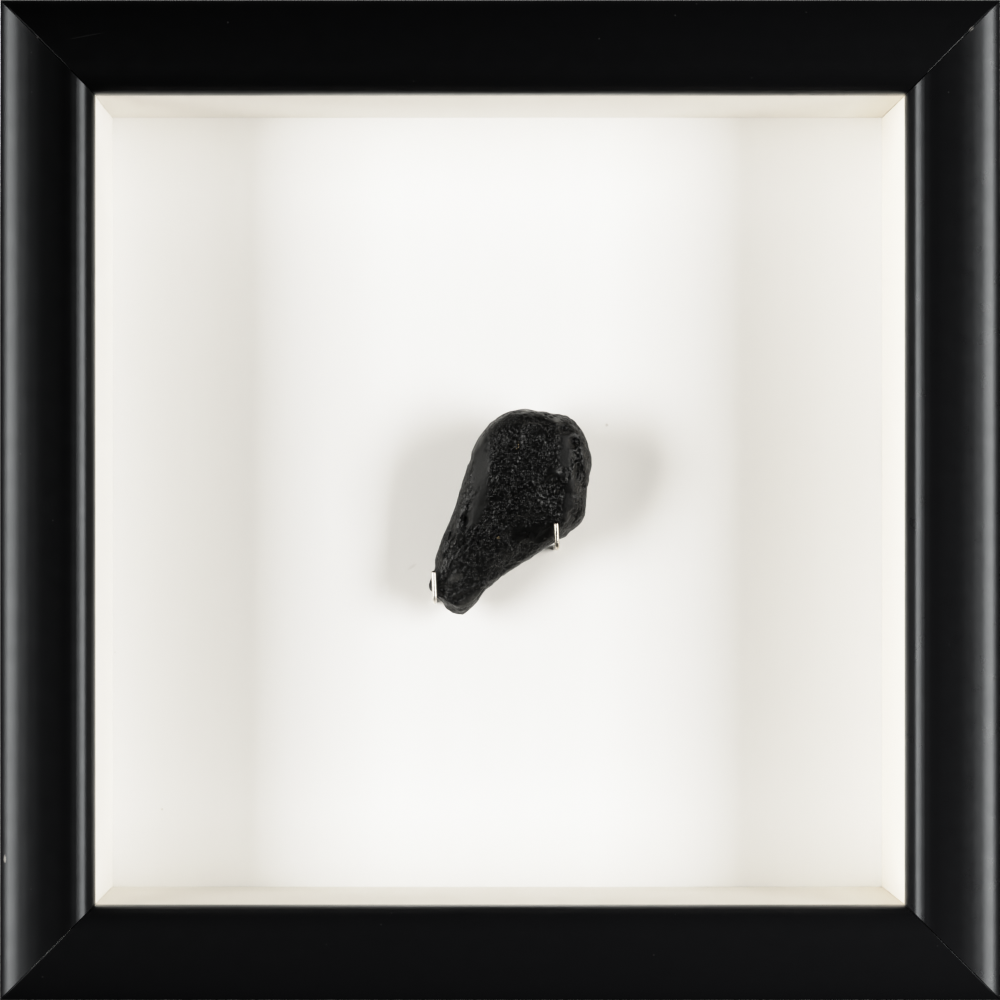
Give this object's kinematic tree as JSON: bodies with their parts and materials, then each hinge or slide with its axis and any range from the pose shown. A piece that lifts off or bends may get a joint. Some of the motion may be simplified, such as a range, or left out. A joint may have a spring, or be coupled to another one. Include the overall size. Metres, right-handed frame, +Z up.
{
  "type": "tektite in a shadow box frame",
  "caption": "Pear-shaped black natural-glass tektite held by two bent silver wires against the white back of a square black shadow-box frame with a cream lining.",
  "frame": {"origin": "under the middle of the bottom rail, at half of the whole depth, on the surface that the frame stands on", "axes": "+X to the right seen from the front, +Y from the open front towards the wall side, +Z up"},
  "size_m": [0.219, 0.0542, 0.219],
  "materials": {
    "black_lacquer": "black satin lacquer on wood",
    "cream_lining": "matt cream paper on foam board",
    "white_board": "matt white paper on foam board",
    "hardboard": "brown hardboard",
    "natural_glass": "opaque black natural glass, satin to glossy, pitted",
    "silver_wire": "polished silver wire",
    "brassed_steel": "brassed steel",
    "steel_points": "plain steel"
  },
  "bodies": {
    "root": {"frame_rail_top": "black_lacquer", "frame_rail_bottom": "black_lacquer", "frame_rail_left": "black_lacquer", "frame_rail_right": "black_lacquer", "lining_top": "cream_lining", "lining_bottom": "cream_lining", "lining_left": "cream_lining", "lining_right": "cream_lining", "backing_board": "white_board", "back_panel": "hardboard", "tektite": "natural_glass", "claw_left": "silver_wire", "claw_right": "silver_wire", "sawtooth_hanger": "brassed_steel", "hanger_nail_left": "brassed_steel", "hanger_nail_right": "brassed_steel", "panel_point_1": "steel_points", "panel_point_2": "steel_points", "panel_point_3": "steel_points", "panel_point_4": "steel_points", "panel_point_5": "steel_points", "panel_point_6": "steel_points", "panel_point_7": "steel_points", "panel_point_8": "steel_points"}
  },
  "joints": []
}
